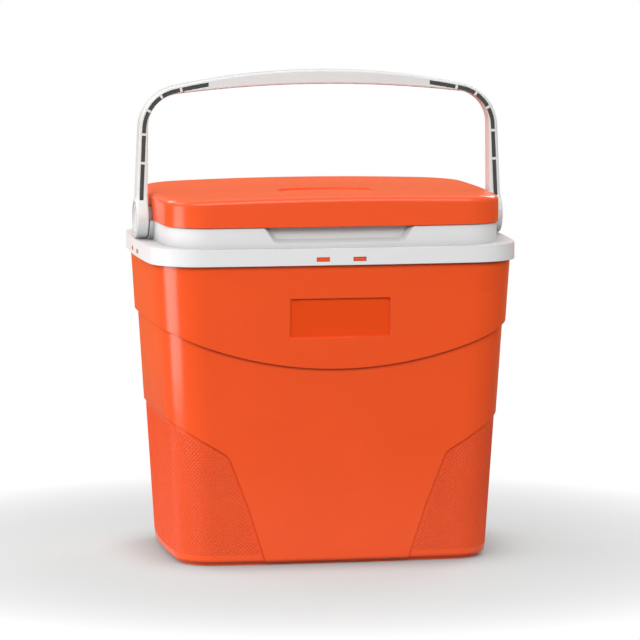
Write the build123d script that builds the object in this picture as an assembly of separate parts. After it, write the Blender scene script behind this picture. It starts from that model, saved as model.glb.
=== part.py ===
from build123d import *
import os
from math import atan2, cos, degrees, radians, sin, sqrt

# Insulated carrier of about 5 litres: a foamed box with a white collar, a lift-off lid and a swinging bail.
# Millimetres, +Z up, origin at the middle of the footprint, front towards -Y.

# ---- Plan outlines: half sizes are at the middle of each side ----
FLANGE_HALF_W = 125.0        # collar flange, the widest part
FLANGE_HALF_D = 89.5
FLANGE_CORNER_R = 34.0
SIDE_BOW = 4.5               # how far the left and right sides swell at their middle
FRONT_BOW = 3.0              # the same for the front and back
LEDGE_W = 10.5               # flange ledge left and right of the lid
LEDGE_D = 7.0                # flange ledge in front of the lid and behind it
LEDGE_R = 6.0                # how much smaller the lid's corner radius is than the flange's
BAND_INSET = 1.0             # collar band under the lid, set back from the lid's skirt
SPIGOT_INSET = 3.8           # collar spigot that the lid's skirt drops over

# ---- Body ----
BASE_Z = 2.0                 # underside of the shell, above its foot ring
FLANGE_Z = 201.3             # lower edge of the collar flange
SHELL_SLACK = 1.0            # between the body's top and the inside of the flange
BODY_TAPER_W = 11.6          # how far each side comes in from FLANGE_Z down to BASE_Z
BODY_TAPER_D = 11.4
BODY_TAPER_R = 3.2
BASE_EDGE_R = 2.5
SHELL_WALL = 2.2
FIT = 0.2                    # clearance between pieces that are assembled and stay put
FOOT_INSET = 6.5
FOOT_WIDTH = 5.0
PORT_R = 12.0                # hole in the base through which the foam is poured
PORT_HEAD_R = 15.0
PORT_HEAD_T = 1.2
PORT_STEM_H = 4.4

# ---- Steps moulded into the body ----
ARC_DROP = 69.4              # lowest point of the swept step, at the middle of the front, below the flange
ARC_R = 262.0
ARC_STEP = 2.0
PANEL_STEP = 1.3             # corner grip panels, further in
PANEL_EDGE = ((63.4, 0.0), (50.6, 40.0), (37.6, 74.0), (-39.4, 121.0))   # in from the base's side, and height
PANEL_KNEE_R = 70.0
PANEL_SHOULDER_R = 9.0
BADGE_W = 67.0
BADGE_H = 26.0
BADGE_DROP = 35.3            # its middle below the flange
BADGE_DEPTH = 1.6
BADGE_R = 1.5

# ---- Collar ----
FLANGE_H = 11.2
FLANGE_WALL = 1.8
DECK_T = 2.2
BAND_H = 13.2                # visible height of the band, from the flange to the lid
BAND_WALL = 2.4
SPIGOT_H = 5.3
SHELL_RIM_GAP = 0.5          # between the top of the shell and the collar's deck
RECESS_BOTTOM_W = 86.0       # finger recess in the front of the band
RECESS_TOP_W = 101.0
RECESS_DEPTH = 5.5
RECESS_LIFT = 2.3            # recess floor above the flange
RECESS_RISE = 3.0            # how far it goes up behind the lid's skirt
RECESS_R = 5.0
RECESS_DRAFT = 3.0           # how much its walls slope in
WINDOW_W = 8.7               # snap windows in the flange
WINDOW_H = 2.8
WINDOW_RISE = 3.9            # their middle above the flange's lower edge
WINDOW_SPACING = 24.5
TAB_REACH = 0.5              # how far the tabs stop short of the flange's face
TAB_BLOCK = 10.0

# ---- Liner, a drafted tub ----
RIM_LAND_W = 17.5            # from the lid's outline in to the liner's mouth, left and right
RIM_LAND_D = 19.5            # the same at the front and back
LINER_TAPER = 5.0            # how far each wall comes in from the mouth down to the floor
LINER_TOP_R = 20.0
LINER_BASE_R = 16.0
LINER_FLOOR_Z = 24.0
LINER_WALL = 1.8
LINER_FLANGE_T = 2.0

# ---- Lid ----
LID_H = 20.3                 # skirt edge to crown
LID_WALL = 2.4
LID_TOP_T = 2.6
LID_CROWN_R = 2600.0
LID_EDGE_R = 4.2
LID_GAP = 0.3                # skirt edge above the collar band
MEDALLION_HALF_W = 33.0
MEDALLION_HALF_D = 15.0
MEDALLION_SETBACK = 54.5     # its middle behind the lid's front
MEDALLION_DEPTH = 1.0
PLUG_GAP = 1.5               # lid plug inside the liner's mouth
PLUG_DEPTH = 19.0            # below the liner's top face
PLUG_WALL = 1.8
GASKET_T = 2.0
GASKET_W = 6.0
GASKET_INSET = 4.0
GASKET_GAP = 0.1
LID_PLATE_T = 1.8

# ---- Bail ----
PIVOT_RISE = 0.8             # above the top of the collar's band
HUB_R = 13.5
HUB_W = 8.1
HUB_EDGE_R = 1.0
BAIL_DEPTH = 14.0            # front to back
BAIL_OUTER_LEAN = 2.55       # degrees
BAIL_INNER_LEAN = 0.5
BAIL_CLEAR = 6.5             # between the grip and the lid's front when the bail lies down
BAIL_TOP_R = 485.0
BAIL_SHOULDER_R = 30.0
GRIP_T = 9.5                 # grip thickness at its middle
GRIP_UNDER_R = 809.0
INNER_SHOULDER_R = 22.0
HUB_BLEND_R = 14.0
BAIL_EDGE_R = 1.3
SLOT_INSET = 1.9             # slots for the dark inlays, from the bail's outer edge
SLOT_W = 2.7
SLOT_DEPTH = 3.0
SLOT_START = 11.0            # above the pivot
SLOT_LENGTHS = (25.5, 17.5, 14.5, 11.0, 12.5, 18.0)
RIB_W = 1.7
INLAY_FIT = 0.08
INLAY_RECESS = 0.4

# ---- Pivots ----
PIN_R = 4.0
PIN_RUNNING_FIT = 0.08
PIN_BURY = 9.5               # how far the pin reaches in past the lid's side
PIN_HEAD_R = 7.0
PIN_HEAD_T = 1.8
PIN_HEAD_PLAY = 0.2
BOSS_R = 7.8                 # collar boss round the pin
BOSS_END_T = 1.0             # its closed inner end
BOSS_LOBE_R = 15.0           # its wider lower half, visible under the skirt
HUB_PLAY = 0.4               # between the hub and the boss
HUB_WEB_T = 3.5              # hub thickness under the pin's head
HEAD_BORE_R = 7.5
PIN_SEAT_FIT = 0.05          # pin in the collar's boss
CAP_R = 10.4
CAP_T = 1.3
CAP_RECESS = 0.6             # cap below the hub's outer face
CAP_FIT = 0.1
CAP_DISH_R = 7.0
CAP_DISH_DEPTH = 0.5
NOTCH_PLAY = 1.2             # between the boss and the notch in the lid's skirt

# ---- Ice packs ----
PACK_T = 25.0
PACK_H = 150.0
PACK_R = 8.0
PACK_EDGE_R = 4.0
PACK_GAP = 0.8               # from the liner's walls at the floor
PACK_REACH = 10.0            # how far an end pack goes past the start of the liner's rounded corner
PACK_SPACE = 14.2            # from the front and back packs to the end packs
PACK_SEAT = 0.1
PACK_PANEL_DEPTH = 1.5
PACK_PANEL_MARGIN = 12.0
NECK_R = 8.0
NECK_H = 4.0
NECK_INSET = 18.0            # from the pack's end to the middle of its neck
STOPPER_R = 9.5
STOPPER_H = 6.0
STOPPER_EDGE_R = 1.5
STOPPER_STEM_R = 6.0
STOPPER_STEM = 5.0
STOPPER_GAP = 0.2

# ---- Outlines, heights and faces worked out from the sizes above ----
LID_HALF_W = FLANGE_HALF_W - LEDGE_W
LID_HALF_D = FLANGE_HALF_D - LEDGE_D
LID_CORNER_R = FLANGE_CORNER_R - LEDGE_R
BODY_TOP_HALF_W = FLANGE_HALF_W - FLANGE_WALL - SHELL_SLACK
BODY_TOP_HALF_D = FLANGE_HALF_D - FLANGE_WALL - SHELL_SLACK
BODY_TOP_CORNER_R = FLANGE_CORNER_R - FLANGE_WALL
BODY_BASE_HALF_W = BODY_TOP_HALF_W - BODY_TAPER_W
BODY_BASE_HALF_D = BODY_TOP_HALF_D - BODY_TAPER_D
BODY_BASE_CORNER_R = BODY_TOP_CORNER_R - BODY_TAPER_R
LINER_TOP_HALF_W = LID_HALF_W - RIM_LAND_W
LINER_TOP_HALF_D = LID_HALF_D - RIM_LAND_D
LINER_BASE_HALF_W = LINER_TOP_HALF_W - LINER_TAPER
LINER_BASE_HALF_D = LINER_TOP_HALF_D - LINER_TAPER
FLANGE_TOP_Z = FLANGE_Z + FLANGE_H
SHELL_TOP_Z = FLANGE_TOP_Z - DECK_T - SHELL_RIM_GAP
BAND_TOP_Z = FLANGE_TOP_Z + BAND_H
SPIGOT_TOP_Z = BAND_TOP_Z + SPIGOT_H
LINER_TOP_Z = SPIGOT_TOP_Z + LINER_FLANGE_T
SKIRT_Z = BAND_TOP_Z + LID_GAP
LID_TOP_Z = SKIRT_Z + LID_H
GASKET_Z = LINER_TOP_Z + GASKET_GAP
LID_PLATE_Z = GASKET_Z + GASKET_T
PLUG_Z = LINER_TOP_Z - PLUG_DEPTH
PIVOT_Z = BAND_TOP_Z + PIVOT_RISE
BAIL_TOP_Z = PIVOT_Z + LID_HALF_D + BAIL_CLEAR + GRIP_T
HUB_INNER_X = FLANGE_HALF_W - HUB_W
PIN_END_X = LID_HALF_W - PIN_BURY
LOBE_ROOT_X = LID_HALF_W - BAND_INSET - BAND_WALL
BOSS_FACE_X = HUB_INNER_X - HUB_PLAY
HEAD_SEAT_X = HUB_INNER_X + HUB_WEB_T
CAP_SEAT_X = FLANGE_HALF_W - CAP_RECESS - CAP_T
FAR = 400.0                  # larger than the object, for cutting blocks


def bowed_face(half_w, half_d, corner_r):
    """Rounded rectangle whose four sides swell outwards to the given half sizes."""
    side_x = half_w - SIDE_BOW
    side_y = half_d - FRONT_BOW
    corners = [(side_x, -side_y), (side_x, side_y), (-side_x, side_y), (-side_x, -side_y)]
    middles = [(half_w, 0), (0, half_d), (-half_w, 0), (0, -half_d)]
    arcs = [ThreePointArc(corners[i], middles[i], corners[(i + 1) % 4]) for i in range(4)]
    face = make_face(Curve() + arcs)
    return fillet(face.vertices(), corner_r)


def bowed_block(half_w, half_d, corner_r, z_from, z_to):
    return Pos(0, 0, z_from) * extrude(bowed_face(half_w, half_d, corner_r), z_to - z_from)


def flange_block(inset, z_from, z_to):
    return bowed_block(FLANGE_HALF_W - inset, FLANGE_HALF_D - inset, FLANGE_CORNER_R - inset, z_from, z_to)


def lid_block(inset, z_from, z_to):
    return bowed_block(LID_HALF_W - inset, LID_HALF_D - inset, LID_CORNER_R - inset, z_from, z_to)


def between(base_value, top_value, base_z, top_z, z):
    """Value at height z on a straight line between two known heights."""
    return base_value + (top_value - base_value) * (z - base_z) / (top_z - base_z)


def body_face(inset, z):
    half_w = between(BODY_BASE_HALF_W, BODY_TOP_HALF_W, BASE_Z, FLANGE_Z, z) - inset
    half_d = between(BODY_BASE_HALF_D, BODY_TOP_HALF_D, BASE_Z, FLANGE_Z, z) - inset
    corner_r = between(BODY_BASE_CORNER_R, BODY_TOP_CORNER_R, BASE_Z, FLANGE_Z, z) - inset
    return Pos(0, 0, z) * bowed_face(half_w, half_d, corner_r)


def body_loft(inset, z_from, z_to):
    return loft([body_face(inset, z_from), body_face(inset, z_to)], ruled=True)


def rounded_foot(solid, radius):
    """The solid with the edges of its lowest face rounded."""
    lowest = solid.faces().sort_by(Axis.Z)[0]
    return fillet(lowest.edges(), radius)


def through_front(sketch, half_depth=FAR):
    """A sketch drawn in X and Z, made into a block that runs front to back."""
    return extrude(Plane.XZ * sketch, half_depth, both=True)


def apron_sketch(inset):
    """Front view of everything between and above the two corner panels."""
    edge = [(BODY_BASE_HALF_W - inwards, height) for inwards, height in PANEL_EDGE]
    right = FilletPolyline(*edge, radius=[PANEL_KNEE_R, PANEL_SHOULDER_R])
    left = mirror(right, about=Plane.YZ)
    foot_x, foot_z = edge[0]
    side_x, side_z = edge[-1]
    top = Polyline((side_x, side_z), (side_x, FAR), (-side_x, FAR), (-side_x, side_z))
    bottom = Polyline((foot_x, foot_z), (foot_x, -FAR), (-foot_x, -FAR), (-foot_x, foot_z))
    face = make_face(Curve() + [right, left, top, bottom])
    return face if inset == 0 else offset(face, -inset)


def stepped_body(inset, z_from, z_to):
    """The body's moulded form, with its arc step, grip panels and badge recess, everywhere set in by inset."""
    full = body_loft(inset, z_from, z_to)
    above_arc = Pos(0, 0, FLANGE_Z - ARC_DROP + ARC_R) * Rot(90, 0, 0) * Cylinder(ARC_R - inset, FAR)
    badge_face = RectangleRounded(BADGE_W + 2 * inset, BADGE_H + 2 * inset, BADGE_R)
    badge = through_front(Pos(0, FLANGE_Z - BADGE_DROP) * badge_face)
    badge_front = badge & Pos(0, -FAR / 2, 0) * Box(FAR, FAR, 4 * FAR)
    badge_cut = badge_front - body_loft(inset + BADGE_DEPTH, z_from, z_to)
    middle = rounded_foot(body_loft(inset + ARC_STEP, z_from, z_to), BASE_EDGE_R)
    panels = rounded_foot(body_loft(inset + ARC_STEP + PANEL_STEP, z_from, z_to), BASE_EDGE_R)
    upper = full & above_arc
    upper -= badge_cut
    return upper + (middle & through_front(apron_sketch(inset))) + panels


def tab_blocks(shrink):
    """Blocks through the flange's wall at the snap windows, two on each side of the box."""
    length = WINDOW_W - 2 * shrink
    height = WINDOW_H - 2 * shrink
    z = FLANGE_Z + WINDOW_RISE
    blocks = []
    for along in (-WINDOW_SPACING / 2, WINDOW_SPACING / 2):
        for side in (-1, 1):
            blocks.append(Pos(along, side * FLANGE_HALF_D, z) * Box(length, TAB_BLOCK, height))
            blocks.append(Pos(side * FLANGE_HALF_W, along, z) * Box(TAB_BLOCK, length, height))
    return blocks


def outer_shell():
    """Drafted outer moulding with its foot ring, foam port and the snap tabs on its rim."""
    solid = stepped_body(0, BASE_Z, SHELL_TOP_Z)
    solid -= stepped_body(SHELL_WALL, BASE_Z + SHELL_WALL, SHELL_TOP_Z + 1)
    foot_outer = body_face(FOOT_INSET, BASE_Z)
    foot_inner = body_face(FOOT_INSET + FOOT_WIDTH, BASE_Z)
    solid += extrude(foot_outer - foot_inner, -BASE_Z)
    solid -= Pos(0, 0, BASE_Z) * Cylinder(PORT_R, FAR)
    solid -= Pos(0, 0, BASE_Z + PORT_HEAD_T / 2) * Cylinder(PORT_HEAD_R + FIT, PORT_HEAD_T)
    inside_wall = body_loft(SHELL_WALL / 2, FLANGE_Z - 1, SHELL_TOP_Z + 1)
    window_depth = flange_block(TAB_REACH, FLANGE_Z, SHELL_TOP_Z)
    for tab in tab_blocks(FIT):
        solid += (tab & window_depth) - inside_wall
    return solid


def pivot_axis(x, radius, length):
    """A round bar of given radius that starts at x and runs along +X, on the bail's axis."""
    return Pos(x + length / 2, 0, PIVOT_Z) * Rot(0, 90, 0) * Cylinder(radius, length)


def collar_bosses():
    """Pin bosses: a lobe under the lid's skirt and a narrower barrel that reaches inside the wall."""
    barrel = pivot_axis(PIN_END_X - BOSS_END_T, BOSS_R, BOSS_FACE_X - PIN_END_X + BOSS_END_T)
    too_high = Pos(0, 0, SPIGOT_TOP_Z + FAR / 2) * Box(2 * (LID_HALF_W - SPIGOT_INSET), FAR, FAR)
    lobe = pivot_axis(LOBE_ROOT_X, BOSS_LOBE_R, BOSS_FACE_X - LOBE_ROOT_X)
    lobe &= Pos(0, 0, (FLANGE_TOP_Z - DECK_T + BAND_TOP_Z) / 2) * Box(FAR, FAR, BAND_H + DECK_T)
    right = (barrel - too_high) + lobe
    return right + mirror(right, about=Plane.YZ)


def finger_recess(growth):
    """Trapezoid with sloping walls, sunk into the front of the collar's band, grown by a wall for its back."""
    floor_z = FLANGE_TOP_Z + RECESS_LIFT
    top_z = BAND_TOP_Z + RECESS_RISE
    floor_x = RECESS_BOTTOM_W / 2
    top_x = between(RECESS_BOTTOM_W, RECESS_TOP_W, floor_z, BAND_TOP_Z, top_z) / 2
    outline = Polyline((-floor_x, floor_z), (floor_x, floor_z), (top_x, top_z), (-top_x, top_z), close=True)
    face = make_face(outline)
    face = fillet(face.vertices().group_by(Axis.Y)[0], RECESS_R)
    band_y = LID_HALF_D - BAND_INSET
    deep = Plane.XZ.offset(band_y - RECESS_DEPTH - growth) * offset(face, growth - RECESS_DRAFT)
    open_end = Plane.XZ.offset(band_y + growth) * offset(face, growth)
    return loft([deep, open_end], ruled=True)


def rim_collar():
    """White collar: flange over the shell's rim, band, and the spigot that locates the lid."""
    solid = flange_block(0, FLANGE_Z, FLANGE_TOP_Z)
    solid += lid_block(BAND_INSET, FLANGE_TOP_Z, BAND_TOP_Z)
    solid += lid_block(SPIGOT_INSET, BAND_TOP_Z, SPIGOT_TOP_Z)
    hollow = flange_block(FLANGE_WALL, FLANGE_Z, FLANGE_TOP_Z - DECK_T)
    hollow += lid_block(BAND_INSET + BAND_WALL, FLANGE_Z, BAND_TOP_Z - DECK_T)
    hollow += lid_block(SPIGOT_INSET + BAND_WALL, FLANGE_Z, SPIGOT_TOP_Z)
    hollow -= finger_recess(BAND_WALL)
    solid -= hollow
    solid -= finger_recess(0)
    for window in tab_blocks(0):
        solid -= window
    solid += collar_bosses()
    bore = pivot_axis(PIN_END_X, PIN_R + PIN_SEAT_FIT, FAR)
    return solid - bore - mirror(bore, about=Plane.YZ)


def liner_face(growth, z):
    half_w = between(LINER_BASE_HALF_W, LINER_TOP_HALF_W, LINER_FLOOR_Z, LINER_TOP_Z, z) + growth
    half_d = between(LINER_BASE_HALF_D, LINER_TOP_HALF_D, LINER_FLOOR_Z, LINER_TOP_Z, z) + growth
    corner_r = between(LINER_BASE_R, LINER_TOP_R, LINER_FLOOR_Z, LINER_TOP_Z, z) + growth
    return Pos(0, 0, z) * RectangleRounded(2 * half_w, 2 * half_d, corner_r)


def liner_loft(growth, z_from, z_to):
    return loft([liner_face(growth, z_from), liner_face(growth, z_to)], ruled=True)


def inner_liner():
    solid = liner_loft(LINER_WALL, LINER_FLOOR_Z - LINER_WALL, LINER_TOP_Z)
    solid += lid_block(SPIGOT_INSET, SPIGOT_TOP_Z, LINER_TOP_Z)
    solid -= liner_loft(0, LINER_FLOOR_Z, LINER_TOP_Z + 1)
    return solid


def foam_body():
    """Foam poured between the shell and the liner, and up inside the collar."""
    top_z = FLANGE_TOP_Z - DECK_T - FIT
    wall = SHELL_WALL + FIT
    solid = stepped_body(wall, BASE_Z + wall, top_z)
    solid += lid_block(BAND_INSET + BAND_WALL + FIT, top_z - 1, BAND_TOP_Z - DECK_T - FIT)
    solid += lid_block(SPIGOT_INSET + BAND_WALL + FIT, top_z - 1, SPIGOT_TOP_Z - FIT)
    solid -= finger_recess(BAND_WALL + FIT)
    solid -= liner_loft(LINER_WALL + FIT, LINER_FLOOR_Z - LINER_WALL - FIT, SPIGOT_TOP_Z + 1)
    boss_space = pivot_axis(PIN_END_X - BOSS_END_T - FIT, BOSS_R + FIT, FAR)
    boss_space += pivot_axis(LOBE_ROOT_X - FIT, BOSS_LOBE_R + FIT, FAR)
    solid -= boss_space
    solid -= mirror(boss_space, about=Plane.YZ)
    plug_space = PORT_HEAD_T + PORT_STEM_H + FIT
    return solid - Pos(0, 0, BASE_Z + plug_space / 2) * Cylinder(PORT_R + FIT, plug_space)


def foam_port_plug():
    """Push-in plug that closes the foam port in the base."""
    head = Pos(0, 0, BASE_Z + PORT_HEAD_T / 2) * Cylinder(PORT_HEAD_R, PORT_HEAD_T)
    stem = Cylinder(PORT_R - FIT, PORT_STEM_H) - Cylinder(PORT_R - FIT - SHELL_WALL, PORT_STEM_H)
    return head + Pos(0, 0, BASE_Z + PORT_HEAD_T + PORT_STEM_H / 2) * stem


def crowned_lid_block(inset, depth, z_from):
    """Part of the lid's form that is set in from its side and lies the given depth under its crowned top."""
    crown = Pos(0, 0, LID_TOP_Z - LID_CROWN_R) * Rot(90, 0, 0) * Cylinder(LID_CROWN_R - depth, FAR)
    return lid_block(inset, z_from, LID_TOP_Z) & crown


def lid_top():
    """Orange lid moulding: crowned top, deep skirt, oval medallion and the notches over the pin bosses."""
    solid = crowned_lid_block(0, 0, SKIRT_Z)
    upper_edges = solid.faces().sort_by(Axis.Z)[-1].edges()
    solid = fillet(upper_edges, LID_EDGE_R)
    medallion = Ellipse(MEDALLION_HALF_W, MEDALLION_HALF_D)
    solid -= extrude(Pos(0, MEDALLION_SETBACK - LID_HALF_D, LID_TOP_Z - MEDALLION_DEPTH) * medallion, LID_H)
    solid -= crowned_lid_block(LID_WALL, LID_TOP_T, SKIRT_Z)
    notch_r = BOSS_R + NOTCH_PLAY
    notch = Pos(0, 0, PIVOT_Z) * Rot(0, 90, 0) * Cylinder(notch_r, FAR)
    notch += Pos(0, 0, PIVOT_Z - LID_H / 2) * Box(FAR, 2 * notch_r, LID_H)
    return solid - notch


def plug_loft(shrink, z_from, z_to):
    return liner_loft(-PLUG_GAP - shrink, z_from, z_to)


def lid_liner():
    """White inner moulding of the lid: a flat plate with a hollow plug that enters the liner's mouth."""
    inset = LID_WALL + FIT
    solid = lid_block(inset, LID_PLATE_Z, LID_PLATE_Z + LID_PLATE_T)
    solid += plug_loft(0, PLUG_Z, LID_PLATE_Z + LID_PLATE_T / 2)
    solid -= plug_loft(PLUG_WALL, PLUG_Z + PLUG_WALL, LID_PLATE_Z + LID_PLATE_T + 1)
    return solid


def lid_foam():
    """Foam that fills the lid between its top and its plug."""
    plate_top_z = LID_PLATE_Z + LID_PLATE_T + FIT
    solid = crowned_lid_block(LID_WALL + FIT, LID_TOP_T + FIT, plate_top_z)
    solid += plug_loft(PLUG_WALL + FIT, PLUG_Z + PLUG_WALL + FIT, plate_top_z + 1)
    return solid


def lid_gasket():
    """Flat ring under the lid's plate that seals on the liner's flange."""
    outer = lid_block(SPIGOT_INSET + GASKET_INSET, GASKET_Z, LID_PLATE_Z)
    inner = lid_block(SPIGOT_INSET + GASKET_INSET + GASKET_W, GASKET_Z, LID_PLATE_Z)
    return outer - inner


def bail_half(foot_x, lean, top_z, top_r, shoulder_r, inset):
    """Right half of a bail outline, in X and Z: leaning arm, shoulder arc and crowned grip."""
    tilt = radians(lean)
    grip_z = top_z - top_r
    start_x = foot_x - shoulder_r * cos(tilt)
    start_z = PIVOT_Z - shoulder_r * sin(tilt)
    # The shoulder's centre slides up beside the arm until its circle touches the grip's circle from inside.
    lift = start_z - grip_z
    half_b = lift * cos(tilt) - start_x * sin(tilt)
    rise = sqrt(half_b ** 2 - start_x ** 2 - lift ** 2 + (top_r - shoulder_r) ** 2) - half_b
    centre_x = start_x - rise * sin(tilt)
    centre_z = start_z + rise * cos(tilt)
    meet = degrees(atan2(centre_z - grip_z, centre_x))
    radius = shoulder_r - inset
    foot = (foot_x - inset * cos(tilt), PIVOT_Z - inset * sin(tilt))
    arm_end = (centre_x + radius * cos(tilt), centre_z + radius * sin(tilt))
    shoulder = CenterArc((centre_x, centre_z), radius, lean, meet - lean)
    grip = CenterArc((0, grip_z), top_r - inset, meet, 90 - meet)
    return [Line(foot, arm_end), shoulder, grip]


def bail_outer(inset):
    return bail_half(FLANGE_HALF_W, BAIL_OUTER_LEAN, BAIL_TOP_Z, BAIL_TOP_R, BAIL_SHOULDER_R, inset)


def bail_region(right_half):
    """The area under a bail outline, from the level of its pivots up."""
    left_half = [mirror(edge, about=Plane.YZ) for edge in right_half]
    foot = right_half[0] @ 0
    base = Line((-foot.X, foot.Y), (foot.X, foot.Y))
    return make_face(Curve() + right_half + left_half + [base])


def bail_frame():
    """The bail's loop: its front view, cut to a side view in which the arms flare into the round hubs."""
    inner = bail_half(HUB_INNER_X, BAIL_INNER_LEAN, BAIL_TOP_Z - GRIP_T, GRIP_UNDER_R, INNER_SHOULDER_R, 0)
    front_view = bail_region(bail_outer(0)) - bail_region(inner)
    arm_h = BAIL_TOP_Z - PIVOT_Z + 1
    side_view = Pos(0, PIVOT_Z) * Circle(HUB_R) + Pos(0, PIVOT_Z + arm_h / 2) * Rectangle(BAIL_DEPTH, arm_h)
    side_view = fillet(side_view.vertices().group_by(Axis.Y)[-2], HUB_BLEND_R)
    return through_front(front_view, HUB_R) & extrude(Plane.YZ * side_view, FAR, both=True)


def slot_sketch(shrink):
    """Front view of the slots in the right half of the bail, as segments with ribs between them."""
    path = Wire(bail_outer(SLOT_INSET + SLOT_W / 2))
    band = bail_region(bail_outer(SLOT_INSET + shrink)) - bail_region(bail_outer(SLOT_INSET + SLOT_W - shrink))
    band -= Pos(-FAR / 2, PIVOT_Z) * Rectangle(FAR, FAR)
    band -= Pos(0, PIVOT_Z + SLOT_START + shrink - FAR / 2) * Rectangle(FAR, FAR)
    station = SLOT_START
    for length in SLOT_LENGTHS[:-1]:
        station += length + RIB_W
        middle = station - RIB_W / 2
        spot = path.position_at(middle, PositionMode.LENGTH)
        heading = path.tangent_at(middle, PositionMode.LENGTH)
        turn = degrees(atan2(heading.Y, heading.X))
        band -= Pos(spot.X, spot.Y) * Rot(0, 0, turn) * Rectangle(RIB_W + 2 * shrink, 2 * SLOT_W)
    end = path.position_at(station + SLOT_LENGTHS[-1], PositionMode.LENGTH)
    return band - Pos(end.X + shrink - FAR / 2, PIVOT_Z) * Rectangle(FAR, FAR)


def slot_blocks(shrink, depth):
    """The slots of the right half as solids that rise from their floors, on the front and the back."""
    floor_plane = Plane.XZ.offset(BAIL_DEPTH / 2 - SLOT_DEPTH)
    front = extrude(floor_plane * slot_sketch(shrink), depth)
    return front + mirror(front, about=Plane.XZ)


def bail_handle():
    """White bail with its hubs, pin bores, cap recesses and inlay slots."""
    frame = bail_frame()
    long_edges = [edge for edge in frame.edges() if abs(abs(edge.center().Y) - BAIL_DEPTH / 2) < 0.01]
    frame = fillet(long_edges, BAIL_EDGE_R)
    hub = pivot_axis(HUB_INNER_X, HUB_R, FLANGE_HALF_W - HUB_INNER_X)
    hub = fillet(hub.edges().filter_by(GeomType.CIRCLE), HUB_EDGE_R)
    cuts = pivot_axis(HUB_INNER_X - 1, PIN_R + PIN_RUNNING_FIT, FAR)
    cuts += pivot_axis(HEAD_SEAT_X, HEAD_BORE_R, FAR)
    cuts += pivot_axis(CAP_SEAT_X, CAP_R + CAP_FIT, FAR)
    slots = slot_blocks(0, SLOT_DEPTH + 1)
    frame += hub + mirror(hub, about=Plane.YZ)
    frame -= cuts
    frame -= mirror(cuts, about=Plane.YZ)
    return frame - slots - mirror(slots, about=Plane.YZ)


def pivot_pin():
    """Headed pin on the right: its shank is fixed in the collar and the hub turns on it."""
    head_x = HEAD_SEAT_X + PIN_HEAD_PLAY
    shank = pivot_axis(PIN_END_X, PIN_R, head_x - PIN_END_X)
    return shank + pivot_axis(head_x, PIN_HEAD_R, PIN_HEAD_T)


def hub_cap():
    """Round cap over the pin's head on the right, dished in its outer face."""
    disc = pivot_axis(CAP_SEAT_X, CAP_R, CAP_T)
    return disc - pivot_axis(CAP_SEAT_X + CAP_T - CAP_DISH_DEPTH, CAP_DISH_R, CAP_T)


def ice_pack(width):
    """Flat bottle standing on its end, with sunk faces and a filler neck on top."""
    solid = extrude(RectangleRounded(width, PACK_T, PACK_R), PACK_H)
    ends = solid.faces().filter_by(Axis.Z)
    solid = fillet(ends.edges(), PACK_EDGE_R)
    panel = RectangleRounded(width - 2 * PACK_PANEL_MARGIN, PACK_H - 2 * PACK_PANEL_MARGIN, PACK_R)
    front_panel = extrude(Plane.XZ.offset(PACK_T / 2 - PACK_PANEL_DEPTH) * Pos(0, PACK_H / 2) * panel, PACK_T)
    solid -= front_panel + mirror(front_panel, about=Plane.XZ)
    neck_x = width / 2 - NECK_INSET
    solid += Pos(neck_x, 0, PACK_H + NECK_H / 2) * Cylinder(NECK_R, NECK_H)
    stem_hole = STOPPER_STEM + STOPPER_GAP
    return solid - Pos(neck_x, 0, PACK_H + NECK_H - stem_hole / 2) * Cylinder(STOPPER_STEM_R + FIT, stem_hole)


def ice_pack_stopper(width):
    """Push-in stopper in a pack's neck."""
    neck_x = width / 2 - NECK_INSET
    seat_z = PACK_H + NECK_H
    head = Pos(neck_x, 0, seat_z + STOPPER_H / 2) * Cylinder(STOPPER_R, STOPPER_H)
    head = fillet(head.edges().group_by(Axis.Z)[-1], STOPPER_EDGE_R)
    return head + Pos(neck_x, 0, seat_z - STOPPER_STEM / 2) * Cylinder(STOPPER_STEM_R, STOPPER_STEM)


def pack_places():
    """Where the packs stand, one against each wall of the liner, and how wide each is."""
    end_x = LINER_BASE_HALF_W - PACK_GAP - PACK_T / 2
    wall_y = LINER_BASE_HALF_D - PACK_GAP - PACK_T / 2
    floor_z = LINER_FLOOR_Z + PACK_SEAT
    long_w = 2 * (LINER_BASE_HALF_W - PACK_GAP - PACK_T - PACK_SPACE)
    end_w = 2 * (LINER_BASE_HALF_D - LINER_BASE_R + PACK_REACH)
    return {
        "front": (Pos(0, -wall_y, floor_z), long_w),
        "back": (Pos(0, wall_y, floor_z) * Rot(0, 0, 180), long_w),
        "left": (Pos(-end_x, 0, floor_z) * Rot(0, 0, -90), end_w),
        "right": (Pos(end_x, 0, floor_z) * Rot(0, 0, 90), end_w),
    }


def build_nodes():
    right_inlays = slot_blocks(INLAY_FIT, SLOT_DEPTH - INLAY_RECESS)
    pin = pivot_pin()
    cap = hub_cap()
    nodes = {
        "outer_shell": outer_shell(),
        "foam_body": foam_body(),
        "inner_liner": inner_liner(),
        "rim_collar": rim_collar(),
        "foam_port_plug": foam_port_plug(),
        "pivot_pin_left": mirror(pin, about=Plane.YZ),
        "pivot_pin_right": pin,
        "lid_top": lid_top(),
        "lid_foam": lid_foam(),
        "lid_liner": lid_liner(),
        "lid_gasket": lid_gasket(),
        "bail_handle": bail_handle(),
        "arm_inlays_left": mirror(right_inlays, about=Plane.YZ),
        "arm_inlays_right": right_inlays,
        "hub_cap_left": mirror(cap, about=Plane.YZ),
        "hub_cap_right": cap,
    }
    stoppers = []
    for side, (place, width) in pack_places().items():
        nodes["ice_pack_" + side] = place * ice_pack(width)
        stoppers.append(place * ice_pack_stopper(width))
    nodes["ice_pack_stoppers"] = Compound(children=stoppers)
    return nodes


os.makedirs("parts", exist_ok=True)
for name, shape in build_nodes().items():
    export_step(shape, "parts/" + name + ".step")
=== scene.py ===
import math

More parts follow.
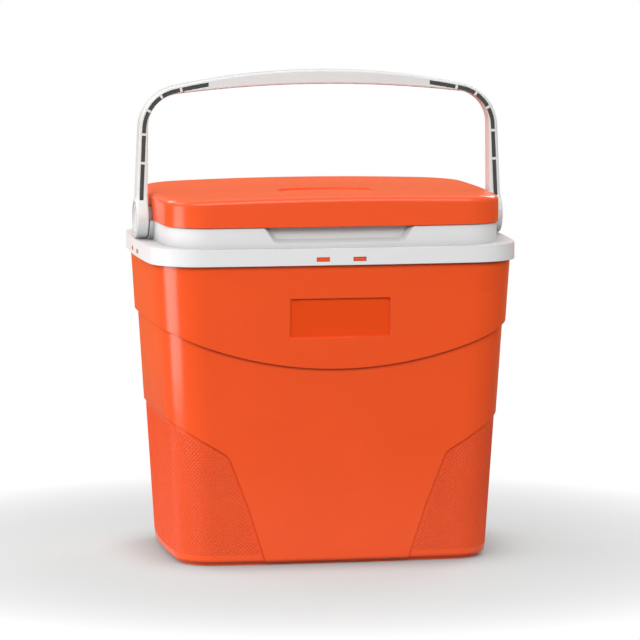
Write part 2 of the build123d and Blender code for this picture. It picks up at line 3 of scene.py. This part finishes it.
import bmesh
import bpy
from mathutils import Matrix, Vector
from mathutils.bvhtree import BVHTree


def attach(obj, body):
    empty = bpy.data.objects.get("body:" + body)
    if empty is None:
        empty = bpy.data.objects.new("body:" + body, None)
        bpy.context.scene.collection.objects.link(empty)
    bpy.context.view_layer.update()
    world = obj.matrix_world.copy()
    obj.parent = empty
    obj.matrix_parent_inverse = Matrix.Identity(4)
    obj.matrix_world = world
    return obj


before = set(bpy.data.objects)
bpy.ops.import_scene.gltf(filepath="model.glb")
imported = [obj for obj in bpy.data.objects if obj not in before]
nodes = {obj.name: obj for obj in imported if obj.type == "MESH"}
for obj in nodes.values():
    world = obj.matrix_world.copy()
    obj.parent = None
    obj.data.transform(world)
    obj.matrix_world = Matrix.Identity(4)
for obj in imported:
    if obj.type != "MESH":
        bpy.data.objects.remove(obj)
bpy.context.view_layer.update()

# Lengths are in metres, powers in watts, and colours and grey levels are linear.
MM = 0.001
ZERO_TO_ONE = (0.0, 1.0)

# ---- Sizes that the looks take from the part ----
BADGE_HALF_W = 33.5 * MM
BADGE_HALF_H = 13.0 * MM
BADGE_Z = 166.0 * MM
PANEL_EDGE_MM = ((47.2, 0.0), (60.0, 40.0), (73.0, 74.0), (150.0, 121.0))  # x and z of a grip panel's edge

# ---- Diamond knurl ----
KNURL_STEP = 1.4 * MM         # half of a diamond's width
KNURL_HEIGHT = 0.34 * MM
KNURL_SINK = 0.04 * MM        # how far the valleys lie under the panel's surface
KNURL_THICK = 0.5 * MM
KNURL_LOW_Z = 7.0 * MM
KNURL_TOP_Z = 102.0 * MM
KNURL_MARGIN = 2.4 * MM       # bare rim beside the panel's edge
GUIDE_HALF_W = 110.5 * MM     # plan outline along which the diamonds are spaced
GUIDE_HALF_D = 75.5 * MM
GUIDE_R = 27.0 * MM
GUIDE_START_X = 45.0 * MM
GUIDE_FRONT_RUN = GUIDE_HALF_W - GUIDE_R - GUIDE_START_X
GUIDE_CORNER_RUN = GUIDE_R * math.pi / 2
GUIDE_SIDE_RUN = 2 * (GUIDE_HALF_D - GUIDE_R)
GUIDE_LENGTH = 2 * GUIDE_FRONT_RUN + 2 * GUIDE_CORNER_RUN + GUIDE_SIDE_RUN
RAY_START = 20.0 * MM         # how far outside the guide a ray towards the shell starts
FAR_AWAY = 1.0                # more than any distance to the panel's edge

# ---- Colours ----
ORANGE = (0.845, 0.086, 0.0155)
KNURL_ORANGE = (0.725, 0.072, 0.0125)
COLLAR_WHITE = (0.735, 0.74, 0.745)
BAIL_WHITE = (0.635, 0.675, 0.675)
CAP_WHITE = (0.74, 0.745, 0.75)
LINER_WHITE = (0.84, 0.85, 0.86)
PIN_WHITE = (0.70, 0.70, 0.67)
INLAY_DARK = (0.045, 0.058, 0.056)
INLAY_RUBBED = (0.12, 0.14, 0.14)
GASKET_GREY = (0.42, 0.43, 0.44)
PACK_BLUE = (0.36, 0.58, 0.76)
STOPPER_BLUE = (0.03, 0.12, 0.36)
FOAM_CREAM = (0.80, 0.72, 0.50)

# ---- Looks of plastic ----
NOISE_SPREAD = (0.3, 0.7)     # most values of a noise lie between these
SOFT_DETAIL = 2.0             # octaves of a soft noise
EDGE_BEND = (0.99, 0.80)      # cosine of rounded and true normal where rubbing starts, and where it is full
EDGE_SAMPLES = 4
RUB_SIZE = 6.0 * MM           # length at which rubbing comes and goes along an edge
RUB_DETAIL = 5.0
RUB_RAGGED = 0.7
RUB_SPREAD = (0.42, 0.62)
RUB_LEAST = 0.15
RUBBED_GAIN = 1.15
RUBBED_LIFT = 0.03
RUBBED_ROUGHER = 0.12
CORNER_SHADE_SPREAD = (0.35, 0.95)    # openness at which the painted corner shade is full, and at which it ends
CORNER_SHADE_GAIN = 0.45              # colour under full painted corner shade, as a share of the unshaded colour
CORNER_SHADE_SAMPLES = 6
GLOSS_SIZE = 30.0 * MM        # size of the patches of higher and lower gloss
GRAIN_DEPTH = 0.1 * MM
BADGE_TINT = (0.93, 0.72, 0.27)   # red, green and blue of the badge recess, as shares of the shell's
BADGE_STRENGTH = 0.9
BADGE_SMOOTHER = 0.08
GLOW_RADIUS = (0.6, 0.5, 0.4)     # spread of red, green and blue light under the skin, in GLOW_SCALE
GLOW_SCALE = 2.0 * MM

# ---- Cut foam ----
FOAM_CELL = 1.2 * MM
FOAM_PATCH = 30.0 * MM
FOAM_PATCH_GAINS = (0.9, 1.05)
PIT_WIDTH = 0.6               # where a pit's painted shade ends, in cells from its middle
PIT_SHADE_STRENGTH = 0.35
PIT_SHADE_GAIN = 0.6
PIT_ROUGH_WIDTH = 0.7
PIT_ROUGHNESS = (0.95, 0.75)  # in a pit's middle, and from PIT_ROUGH_WIDTH outwards
PIT_BUMP = 0.6
PIT_DEPTH = 0.4 * MM

# ---- Camera, at the photograph's viewing angle ----
CAMERA_AZIMUTH = -10.1        # degrees
CAMERA_ELEVATION = 6.5        # degrees
CAMERA_DISTANCE = 3.0
CAMERA_TARGET = (0.0014, 0.0, 0.155)
CAMERA_LENS = 249.0           # millimetres, as is the sensor
CAMERA_SENSOR = 36.0
CAMERA_REACH = 50.0

# ---- World: a studio that is brighter low down ----
WORLD_LOW = 1.3
WORLD_HIGH = 0.35
WORLD_RISE = (0.0, 0.6)       # height of a direction at which the low level ends and the high level begins
MIRROR_LOW = (0.56, 0.22, 0.08)   # what reflections show low down: the warm tone of more carriers around
MIRROR_HIGH = 0.5
MIRROR_RISE = (0.1, 0.5)

# ---- Floor ----
FLOOR_REACH = 12.0
FLOOR_TONE = (0.282, 0.318, 0.319)
FLOOR_FADE = (0.145, 0.34)    # distances between which the floor turns white to the camera
FLOOR_FAR_GAIN = 0.1          # the far floor's own colour, as a share of the near one's
FLOOR_LIFT = 0.34             # light of the near floor that only the camera sees
FLOOR_ROUGHNESS = 0.55
FLOOR_SPECULAR = 0.1
SPECK_SIZE = 4.0 * MM
SPECK_GAINS = (0.97, 1.03)
SHADE_REACH = 40.0 * MM       # how close the object has to be to shade that light
SHADE_SPREAD = (0.45, 0.95)
SHADE_LEAST = 0.33
SHADE_SAMPLES = 8
FLOOR_MIRROR_NEAR = 0.1       # what reflections show of the floor, near and far
FLOOR_MIRROR_FAR = (0.6, 0.15, 0.025)
FLOOR_MIRROR_FADE = (0.4, 1.0)

# ---- Lamps: name, place, target, width, height and power ----
# left_low makes the highlight on the front left corner. It lies lower than the lid's top and can't bleach it.
LAMPS = (
    ("key", (-0.7, -1.9, 1.4), (0.0, 0.0, 0.12), 2.1, 0.9, 29.5),
    ("front", (0.8, -2.0, 1.6), (0.0, 0.0, 0.15), 1.2, 0.8, 13.5),
    ("left_low", (-0.52, -0.08, 0.12), (0.0, -0.05, 0.12), 0.26, 0.22, 0.85),
    ("left", (-1.6, 0.1, 1.3), (-0.1, 0.0, 0.15), 0.9, 0.7, 9.0),
    ("left_rear", (-1.4, 1.6, 1.4), (0.0, 0.0, 0.15), 0.9, 0.7, 13.0),
    ("right_rear", (1.4, 1.6, 1.4), (0.0, 0.0, 0.15), 0.9, 0.7, 16.0),
    ("top", (0.0, 0.2, 2.2), (0.0, 0.0, 0.2), 2.4, 2.0, 15.0),
)


# ---- Helpers for node trees ----
def add(tree, kind, inputs=None, **settings):
    """A new node with its settings and inputs: an input is a number, a colour or another node's output."""
    made = tree.nodes.new(kind)
    for key, value in settings.items():
        setattr(made, key, value)
    for key, value in (inputs or {}).items():
        if isinstance(value, bpy.types.NodeSocket):
            tree.links.new(value, made.inputs[key])
        else:
            made.inputs[key].default_value = value
    return made


def noise(tree, position, size, detail=3.0, roughness=0.5):
    """Noise whose features are about size metres across."""
    inputs = {"Vector": position, "Scale": 1.0 / size, "Detail": detail, "Roughness": roughness}
    return add(tree, "ShaderNodeTexNoise", inputs).outputs["Fac"]


def remap(tree, value, given, wanted):
    """The value moved from one range to another, and held at its ends."""
    inputs = {"Value": value, "From Min": given[0], "From Max": given[1],
              "To Min": wanted[0], "To Max": wanted[1]}
    return add(tree, "ShaderNodeMapRange", inputs).outputs["Result"]


def maths(tree, operation, a, b=0.0):
    return add(tree, "ShaderNodeMath", {0: a, 1: b}, operation=operation).outputs[0]


def mix_colour(tree, factor, a, b):
    """Two colours mixed: the node's sockets 6 and 7 take its colours, and its output 2 gives one."""
    return add(tree, "ShaderNodeMix", {0: factor, 6: a, 7: b}, data_type="RGBA").outputs[2]


def emission(tree, colour, strength):
    return add(tree, "ShaderNodeEmission", {"Color": colour, "Strength": strength}).outputs[0]


def seen_by_camera(tree, path):
    """1 for rays from the camera and rays through something clear, and 0 for all others."""
    return maths(tree, "MAXIMUM", path["Is Camera Ray"], path["Is Transmission Ray"])


def rgba(colour, gain=1.0):
    return (colour[0] * gain, colour[1] * gain, colour[2] * gain, 1.0)


def grey(level):
    return (level, level, level, 1.0)


def new_material(name):
    """An empty material, its node tree, and the place on the object that it shades."""
    material = bpy.data.materials.new(name)
    material.use_nodes = True
    tree = material.node_tree
    tree.nodes.clear()
    return material, tree, add(tree, "ShaderNodeTexCoord").outputs["Object"]


# ---- Plastic ----
def mottled(tree, position, colour, mottle, size):
    """The colour, slightly darker and lighter in soft patches."""
    patches = remap(tree, noise(tree, position, size, SOFT_DETAIL), NOISE_SPREAD, ZERO_TO_ONE)
    return mix_colour(tree, patches, rgba(colour, 1 - mottle), rgba(colour, 1 + mottle))


def rubbed(tree, position, rounded, wear):
    """How far the surface is rubbed: most on sharp edges, and unevenly along them."""
    normals = {0: rounded, 1: add(tree, "ShaderNodeNewGeometry").outputs["Normal"]}
    cosine = add(tree, "ShaderNodeVectorMath", normals, operation="DOT_PRODUCT").outputs["Value"]
    at_edge = remap(tree, cosine, EDGE_BEND, ZERO_TO_ONE)
    breaks = noise(tree, position, RUB_SIZE, RUB_DETAIL, RUB_RAGGED)
    breaks = remap(tree, breaks, RUB_SPREAD, (RUB_LEAST, 1.0))
    return maths(tree, "MULTIPLY", maths(tree, "MULTIPLY", at_edge, breaks), wear)


def painted_corner_shade(tree, tone, colour, corner_shade, reach):
    """The tone with painted shade: darker in corners, creases and recesses."""
    openness = add(tree, "ShaderNodeAmbientOcclusion", {"Distance": reach}, samples=CORNER_SHADE_SAMPLES)
    painted_shade = remap(tree, openness.outputs["AO"], CORNER_SHADE_SPREAD, (corner_shade, 0.0))
    return mix_colour(tree, painted_shade, tone, rgba(colour, CORNER_SHADE_GAIN))


def badge_mask(tree, position):
    """1 in the badge recess on the front, 0 elsewhere."""
    axes = add(tree, "ShaderNodeSeparateXYZ", {0: position}).outputs
    beside = maths(tree, "ABSOLUTE", axes["X"])
    above = maths(tree, "ABSOLUTE", maths(tree, "SUBTRACT", axes["Z"], BADGE_Z))
    inside = maths(tree, "LESS_THAN", beside, BADGE_HALF_W)
    inside = maths(tree, "MULTIPLY", inside, maths(tree, "LESS_THAN", above, BADGE_HALF_H))
    return maths(tree, "MULTIPLY", inside, maths(tree, "LESS_THAN", axes["Y"], 0.0))


def plastic(name, colour, roughness, specular=0.35, mottle=0.03, mottle_size=50.0 * MM, grain=0.10,
            grain_size=0.5 * MM, edge=0.5 * MM, wear=0.25, wear_colour=None, corner_shade=0.25, corner_shade_reach=6.0 * MM,
            subsurface=0.0, badge=False):
    """Moulded plastic: mottled colour, spark-eroded grain, uneven gloss, rubbed edges and painted shade in
    corners.

    roughness gives its lowest and highest value. mottle, grain, wear and painted corner shade are strengths
    from 0 to 1.
    """
    material, tree, position = new_material(name)
    tone = mottled(tree, position, colour, mottle, mottle_size)

    rounded = add(tree, "ShaderNodeBevel", {"Radius": edge}, samples=EDGE_SAMPLES).outputs[0]
    worn = rubbed(tree, position, rounded, wear)
    lighter = wear_colour or [min(1.0, part * RUBBED_GAIN + RUBBED_LIFT) for part in colour]
    tone = mix_colour(tree, worn, tone, rgba(lighter))
    # Painted shade: the colour darkens where ambient occlusion finds corners, creases and recesses.
    if corner_shade:
        tone = painted_corner_shade(tree, tone, colour, corner_shade, corner_shade_reach)

    gloss = remap(tree, noise(tree, position, GLOSS_SIZE, SOFT_DETAIL), NOISE_SPREAD, roughness)
    gloss = maths(tree, "ADD", gloss, maths(tree, "MULTIPLY", worn, RUBBED_ROUGHER))
    if badge:
        inside = badge_mask(tree, position)
        hot = [part * share for part, share in zip(colour, BADGE_TINT)]
        tone = mix_colour(tree, maths(tree, "MULTIPLY", inside, BADGE_STRENGTH), tone, rgba(hot))
        gloss = maths(tree, "SUBTRACT", gloss, maths(tree, "MULTIPLY", inside, BADGE_SMOOTHER))

    fine = noise(tree, position, grain_size, SOFT_DETAIL)
    relief = {"Height": fine, "Strength": grain, "Distance": GRAIN_DEPTH, "Normal": rounded}
    bump = add(tree, "ShaderNodeBump", relief).outputs[0]
    surface = {"Base Color": tone, "Roughness": gloss, "Normal": bump, "Specular IOR Level": specular}
    if subsurface:
        surface["Subsurface Weight"] = subsurface
        surface["Subsurface Radius"] = GLOW_RADIUS
        surface["Subsurface Scale"] = GLOW_SCALE
    shader = add(tree, "ShaderNodeBsdfPrincipled", surface)
    add(tree, "ShaderNodeOutputMaterial", {"Surface": shader.outputs[0]})
    return material


# ---- Foam ----
def cut_foam(name, colour):
    """Cut rigid foam: small cells that show as pits, with painted shade in them."""
    material, tree, position = new_material(name)
    patches = remap(tree, noise(tree, position, FOAM_PATCH), NOISE_SPREAD, ZERO_TO_ONE)
    tone = mix_colour(tree, patches, *(rgba(colour, gain) for gain in FOAM_PATCH_GAINS))
    grid = {"Vector": position, "Scale": 1.0 / FOAM_CELL}
    cells = add(tree, "ShaderNodeTexVoronoi", grid).outputs["Distance"]
    # Painted shade: the colour darkens towards each pit's middle.
    pit_shade = remap(tree, cells, (0.0, PIT_WIDTH), (PIT_SHADE_STRENGTH, 0.0))
    tone = mix_colour(tree, pit_shade, tone, rgba(colour, PIT_SHADE_GAIN))
    gloss = remap(tree, cells, (0.0, PIT_ROUGH_WIDTH), PIT_ROUGHNESS)
    relief = {"Height": cells, "Strength": PIT_BUMP, "Distance": PIT_DEPTH}
    bump = add(tree, "ShaderNodeBump", relief).outputs[0]
    surface = {"Base Color": tone, "Roughness": gloss, "Normal": bump}
    shader = add(tree, "ShaderNodeBsdfPrincipled", surface)
    add(tree, "ShaderNodeOutputMaterial", {"Surface": shader.outputs[0]})
    return material


# ---- The material of each node ----
def dress(material, *names):
    for name in names:
        mesh = nodes[name].data
        mesh.materials.clear()
        mesh.materials.append(material)


def dress_box():
    # The shell's painted corner shade draws dark lines under the steps and the flange.
    shell = plastic("orange_shell", ORANGE, (0.21, 0.25), specular=0.45, mottle=0.02, grain=0.03, corner_shade=0.5,
                    corner_shade_reach=3.0 * MM, badge=True)
    # The collar's strong painted corner shade darkens its recess and the band under the lid.
    collar = plastic("collar_white", COLLAR_WHITE, (0.40, 0.47), specular=0.27, mottle=0.008, grain=0.04,
                     wear=0.0, corner_shade=0.8, corner_shade_reach=17.0 * MM)
    plug = plastic("orange_plug", ORANGE, (0.40, 0.50), mottle=0.05)
    pin = plastic("pin_white", PIN_WHITE, (0.35, 0.45), mottle_size=4.0 * MM)
    dress(shell, "outer_shell")
    dress(collar, "rim_collar")
    dress(plug, "foam_port_plug")
    dress(pin, "pivot_pin_left", "pivot_pin_right")


def dress_ice_packs():
    pack = plastic("pack_blue", PACK_BLUE, (0.22, 0.34), mottle=0.02, mottle_size=30.0 * MM, edge=1.0 * MM,
                   subsurface=0.25)
    stopper = plastic("stopper_blue", STOPPER_BLUE, (0.35, 0.5), mottle=0.06, mottle_size=6.0 * MM)
    dress(pack, "ice_pack_front", "ice_pack_back", "ice_pack_left", "ice_pack_right")
    dress(stopper, "ice_pack_stoppers")


def dress_lid():
    top = plastic("orange_lid", ORANGE, (0.25, 0.27), specular=0.45, mottle=0.008, grain=0.03,
                  corner_shade_reach=3.0 * MM)
    gasket = plastic("gasket_grey", GASKET_GREY, (0.6, 0.75), mottle=0.06, grain=0.2)
    dress(top, "lid_top")
    dress(gasket, "lid_gasket")


def dress_linings():
    """The liners and the foam behind them, in the box and in the lid."""
    liner = plastic("liner_white", LINER_WHITE, (0.16, 0.26), mottle=0.015, grain=0.04)
    dress(liner, "inner_liner", "lid_liner")
    dress(cut_foam("poured_foam", FOAM_CREAM), "foam_body", "lid_foam")


def dress_bail():
    handle = plastic("bail_white", BAIL_WHITE, (0.26, 0.36), specular=0.27, mottle=0.012,
                     mottle_size=30.0 * MM, grain=0.06, wear=0.0, corner_shade=0.2, corner_shade_reach=3.0 * MM)
    cap = plastic("cap_white", CAP_WHITE, (0.30, 0.40), mottle=0.02, mottle_size=10.0 * MM, corner_shade=0.3)
    inlay = plastic("inlay_dark", INLAY_DARK, (0.55, 0.68), mottle=0.12, mottle_size=8.0 * MM, grain=0.3,
                    grain_size=0.4 * MM, edge=0.2 * MM, wear_colour=INLAY_RUBBED, corner_shade=0.0)
    dress(handle, "bail_handle")
    dress(cap, "hub_cap_left", "hub_cap_right")
    dress(inlay, "arm_inlays_left", "arm_inlays_right")


# ---- Diamond knurl on the corner grip panels ----
def corner_point(centre_y, angle):
    """Point and outward normal on a corner of the guide, at an angle from straight sideways."""
    normal = Vector((math.cos(angle), math.sin(angle)))
    return Vector((GUIDE_HALF_W - GUIDE_R, centre_y)) + GUIDE_R * normal, normal


def guide_point(along):
    """Point and outward normal in plan, at a distance along the guide's right half, from front to back."""
    if along < GUIDE_FRONT_RUN:
        return Vector((GUIDE_START_X + along, -GUIDE_HALF_D)), Vector((0.0, -1.0))
    along -= GUIDE_FRONT_RUN
    if along < GUIDE_CORNER_RUN:
        return corner_point(GUIDE_R - GUIDE_HALF_D, along / GUIDE_R - math.pi / 2)
    along -= GUIDE_CORNER_RUN
    if along < GUIDE_SIDE_RUN:
        return Vector((GUIDE_HALF_W, GUIDE_R - GUIDE_HALF_D + along)), Vector((1.0, 0.0))
    along -= GUIDE_SIDE_RUN
    if along < GUIDE_CORNER_RUN:
        return corner_point(GUIDE_HALF_D - GUIDE_R, along / GUIDE_R)
    along -= GUIDE_CORNER_RUN
    return Vector((GUIDE_HALF_W - GUIDE_R - along, GUIDE_HALF_D)), Vector((0.0, 1.0))


def inside_panel(x, z):
    """How far a point of the front view lies inside the grip panel, from its edge. Outside it is negative."""
    nearest = FAR_AWAY
    for (x0, z0), (x1, z1) in zip(PANEL_EDGE_MM, PANEL_EDGE_MM[1:]):
        start = Vector((x0 * MM, z0 * MM))
        run = Vector((x1 * MM, z1 * MM)) - start
        offset = Vector((x, z)) - start
        share = min(1.0, max(0.0, offset.dot(run) / run.length_squared))
        gap = (offset - run * share).length
        side = run.x * offset.y - run.y * offset.x
        if gap < abs(nearest):
            nearest = -gap if side > 0 else gap
    return nearest


def knurl_seats(mirror):
    """Where the knurl's grid meets the shell: each seat's point and normal, by its column and row."""
    shell = nodes["outer_shell"].data
    surface = BVHTree.FromPolygons([v.co for v in shell.vertices], [p.vertices for p in shell.polygons])
    columns = int(GUIDE_LENGTH / KNURL_STEP)
    rows = int((KNURL_TOP_Z - KNURL_LOW_Z) / KNURL_STEP)
    seats = {}
    for i in range(columns + 1):
        point, normal = guide_point(i * KNURL_STEP)
        for j in range(rows + 1):
            z = KNURL_LOW_Z + j * KNURL_STEP
            if inside_panel(point.x, z) < KNURL_MARGIN - 2.0 * KNURL_STEP:
                continue
            start = Vector((mirror * (point.x + RAY_START * normal.x), point.y + RAY_START * normal.y, z))
            inwards = Vector((-mirror * normal.x, -normal.y, 0.0))
            hit, face_normal = surface.ray_cast(start, inwards)[:2]
            if hit is None or inside_panel(abs(hit.x), z) < KNURL_MARGIN - KNURL_STEP:
                continue
            seats[i, j] = (hit, face_normal)
    return seats


def knurl_mesh(name, mirror):
    """Four-sided pyramids whose bases share their corners."""
    seats = knurl_seats(mirror)
    mesh = bmesh.new()
    made = {}

    def corner(key, lift):
        if key not in made:
            point, normal = seats[key]
            made[key] = mesh.verts.new(point + normal * lift)
        return made[key]

    for (i, j), (point, _) in seats.items():
        ring = [(i + 1, j), (i, j + 1), (i - 1, j), (i, j - 1)]
        if (i + j) % 2 or not all(key in seats for key in ring):
            continue
        if inside_panel(abs(point.x), point.z) < KNURL_MARGIN:
            continue
        top = corner((i, j), KNURL_HEIGHT)
        around = [corner(key, -KNURL_SINK) for key in ring]
        for k in range(4):
            face = [top, around[k], around[(k + 1) % 4]]
            mesh.faces.new(face if mirror > 0 else face[::-1])
    data = bpy.data.meshes.new(name)
    mesh.to_mesh(data)
    mesh.free()
    return data


def knurl(name, mirror, material):
    """A skin of low pyramids over one side's grip panels, each seated on the shell's own surface."""
    data = knurl_mesh(name, mirror)
    data.materials.append(material)
    piece = bpy.data.objects.new(name, data)
    bpy.context.scene.collection.objects.link(piece)
    skin = piece.modifiers.new("thickness", "SOLIDIFY")
    skin.thickness = KNURL_THICK
    skin.offset = -1.0
    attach(piece, "box")


# ---- Floor ----
def floor_tone(tree, position, far):
    """The floor's own colour: finely speckled near the object, and dark further away."""
    speck = noise(tree, position, SPECK_SIZE)
    near = mix_colour(tree, speck, *(rgba(FLOOR_TONE, gain) for gain in SPECK_GAINS))
    return mix_colour(tree, far, near, rgba(FLOOR_TONE, FLOOR_FAR_GAIN))


def floor_level(tree, far):
    """How bright the floor is to the camera by itself: 1 far away, and least right beside the object."""
    openness = add(tree, "ShaderNodeAmbientOcclusion", {"Distance": SHADE_REACH}, samples=SHADE_SAMPLES)
    shade = remap(tree, openness.outputs["AO"], SHADE_SPREAD, (SHADE_LEAST, 1.0))
    near = maths(tree, "MULTIPLY", shade, FLOOR_LIFT)
    return remap(tree, far, ZERO_TO_ONE, (near, 1.0))


def stage_material():
    """Pale floor that keeps the object's shadow, and is white to the camera further away."""
    material, tree, position = new_material("stage_floor")
    distance = add(tree, "ShaderNodeVectorMath", {0: position}, operation="LENGTH").outputs["Value"]
    far = remap(tree, distance, FLOOR_FADE, ZERO_TO_ONE)
    path = add(tree, "ShaderNodeLightPath").outputs
    shown = seen_by_camera(tree, path)

    surface = {"Base Color": floor_tone(tree, position, far), "Roughness": FLOOR_ROUGHNESS,
               "Specular IOR Level": FLOOR_SPECULAR}
    matte = add(tree, "ShaderNodeBsdfPrincipled", surface).outputs[0]
    black = emission(tree, grey(1.0), 0.0)
    fading = {0: maths(tree, "MULTIPLY", far, shown), 1: matte, 2: black}
    lit = add(tree, "ShaderNodeMixShader", fading).outputs[0]

    bright = emission(tree, grey(1.0), maths(tree, "MULTIPLY", floor_level(tree, far), shown))
    around = remap(tree, distance, FLOOR_MIRROR_FADE, ZERO_TO_ONE)
    tint = mix_colour(tree, around, grey(FLOOR_MIRROR_NEAR), rgba(FLOOR_MIRROR_FAR))
    mirrored = emission(tree, tint, path["Is Glossy Ray"])
    for glow in (bright, mirrored):
        lit = add(tree, "ShaderNodeAddShader", {0: lit, 1: glow}).outputs[0]
    add(tree, "ShaderNodeOutputMaterial", {"Surface": lit})
    return material


def make_floor():
    corners = ((-1, -1), (1, -1), (1, 1), (-1, 1))
    data = bpy.data.meshes.new("floor")
    data.from_pydata([(x * FLOOR_REACH, y * FLOOR_REACH, 0.0) for x, y in corners], [], [(0, 1, 2, 3)])
    data.materials.append(stage_material())
    floor = bpy.data.objects.new("floor", data)
    bpy.context.scene.collection.objects.link(floor)


# ---- World, lamps and camera ----
def make_world():
    """White to the camera. It lights the object most from low down, and reflections show it warm there."""
    world = bpy.data.worlds.new("studio")
    bpy.context.scene.world = world
    world.use_nodes = True
    tree = world.node_tree
    tree.nodes.clear()
    path = add(tree, "ShaderNodeLightPath").outputs
    direction = add(tree, "ShaderNodeTexCoord").outputs["Generated"]
    height = add(tree, "ShaderNodeSeparateXYZ", {0: direction}).outputs["Z"]
    plain = mix_colour(tree, remap(tree, height, WORLD_RISE, ZERO_TO_ONE), grey(WORLD_LOW), grey(WORLD_HIGH))
    rise = remap(tree, height, MIRROR_RISE, ZERO_TO_ONE)
    mirrored = mix_colour(tree, rise, rgba(MIRROR_LOW), grey(MIRROR_HIGH))
    tone = mix_colour(tree, path["Is Glossy Ray"], plain, mirrored)
    light = add(tree, "ShaderNodeBackground", {"Color": tone, "Strength": 1.0}).outputs[0]
    white = add(tree, "ShaderNodeBackground", {"Color": grey(1.0), "Strength": 1.0}).outputs[0]
    pick = add(tree, "ShaderNodeMixShader", {0: seen_by_camera(tree, path), 1: light, 2: white}).outputs[0]
    add(tree, "ShaderNodeOutputWorld", {"Surface": pick})


def place_and_aim(thing, place, target):
    """Put a lamp or the camera into the scene, in its place and looking at the target."""
    thing.location = place
    thing.rotation_euler = (Vector(target) - Vector(place)).to_track_quat("-Z", "Y").to_euler()
    bpy.context.scene.collection.objects.link(thing)


def softbox(name, place, target, width, height, power):
    data = bpy.data.lights.new(name, "AREA")
    data.shape = "RECTANGLE"
    data.size = width
    data.size_y = height
    data.energy = power
    place_and_aim(bpy.data.objects.new(name, data), place, target)


def make_camera():
    azimuth = math.radians(CAMERA_AZIMUTH)
    elevation = math.radians(CAMERA_ELEVATION)
    across = math.cos(elevation)
    away = Vector((math.sin(azimuth) * across, -math.cos(azimuth) * across, math.sin(elevation)))
    data = bpy.data.cameras.new("camera")
    data.sensor_width = CAMERA_SENSOR
    data.lens = CAMERA_LENS
    data.clip_end = CAMERA_REACH
    camera = bpy.data.objects.new("camera", data)
    place_and_aim(camera, Vector(CAMERA_TARGET) + away * CAMERA_DISTANCE, CAMERA_TARGET)
    bpy.context.scene.camera = camera


dress_box()
dress_ice_packs()
dress_lid()
dress_linings()
dress_bail()

knurl_orange = plastic("orange_knurl", KNURL_ORANGE, (0.36, 0.46), specular=0.3, grain=0.05, edge=0.1 * MM,
                       wear=0.15, corner_shade=0.0)
knurl("grip_knurl_right", 1, knurl_orange)
knurl("grip_knurl_left", -1, knurl_orange)

make_floor()
make_world()
make_camera()
for lamp in LAMPS:
    softbox(*lamp)
bpy.context.scene.view_settings.view_transform = "Standard"
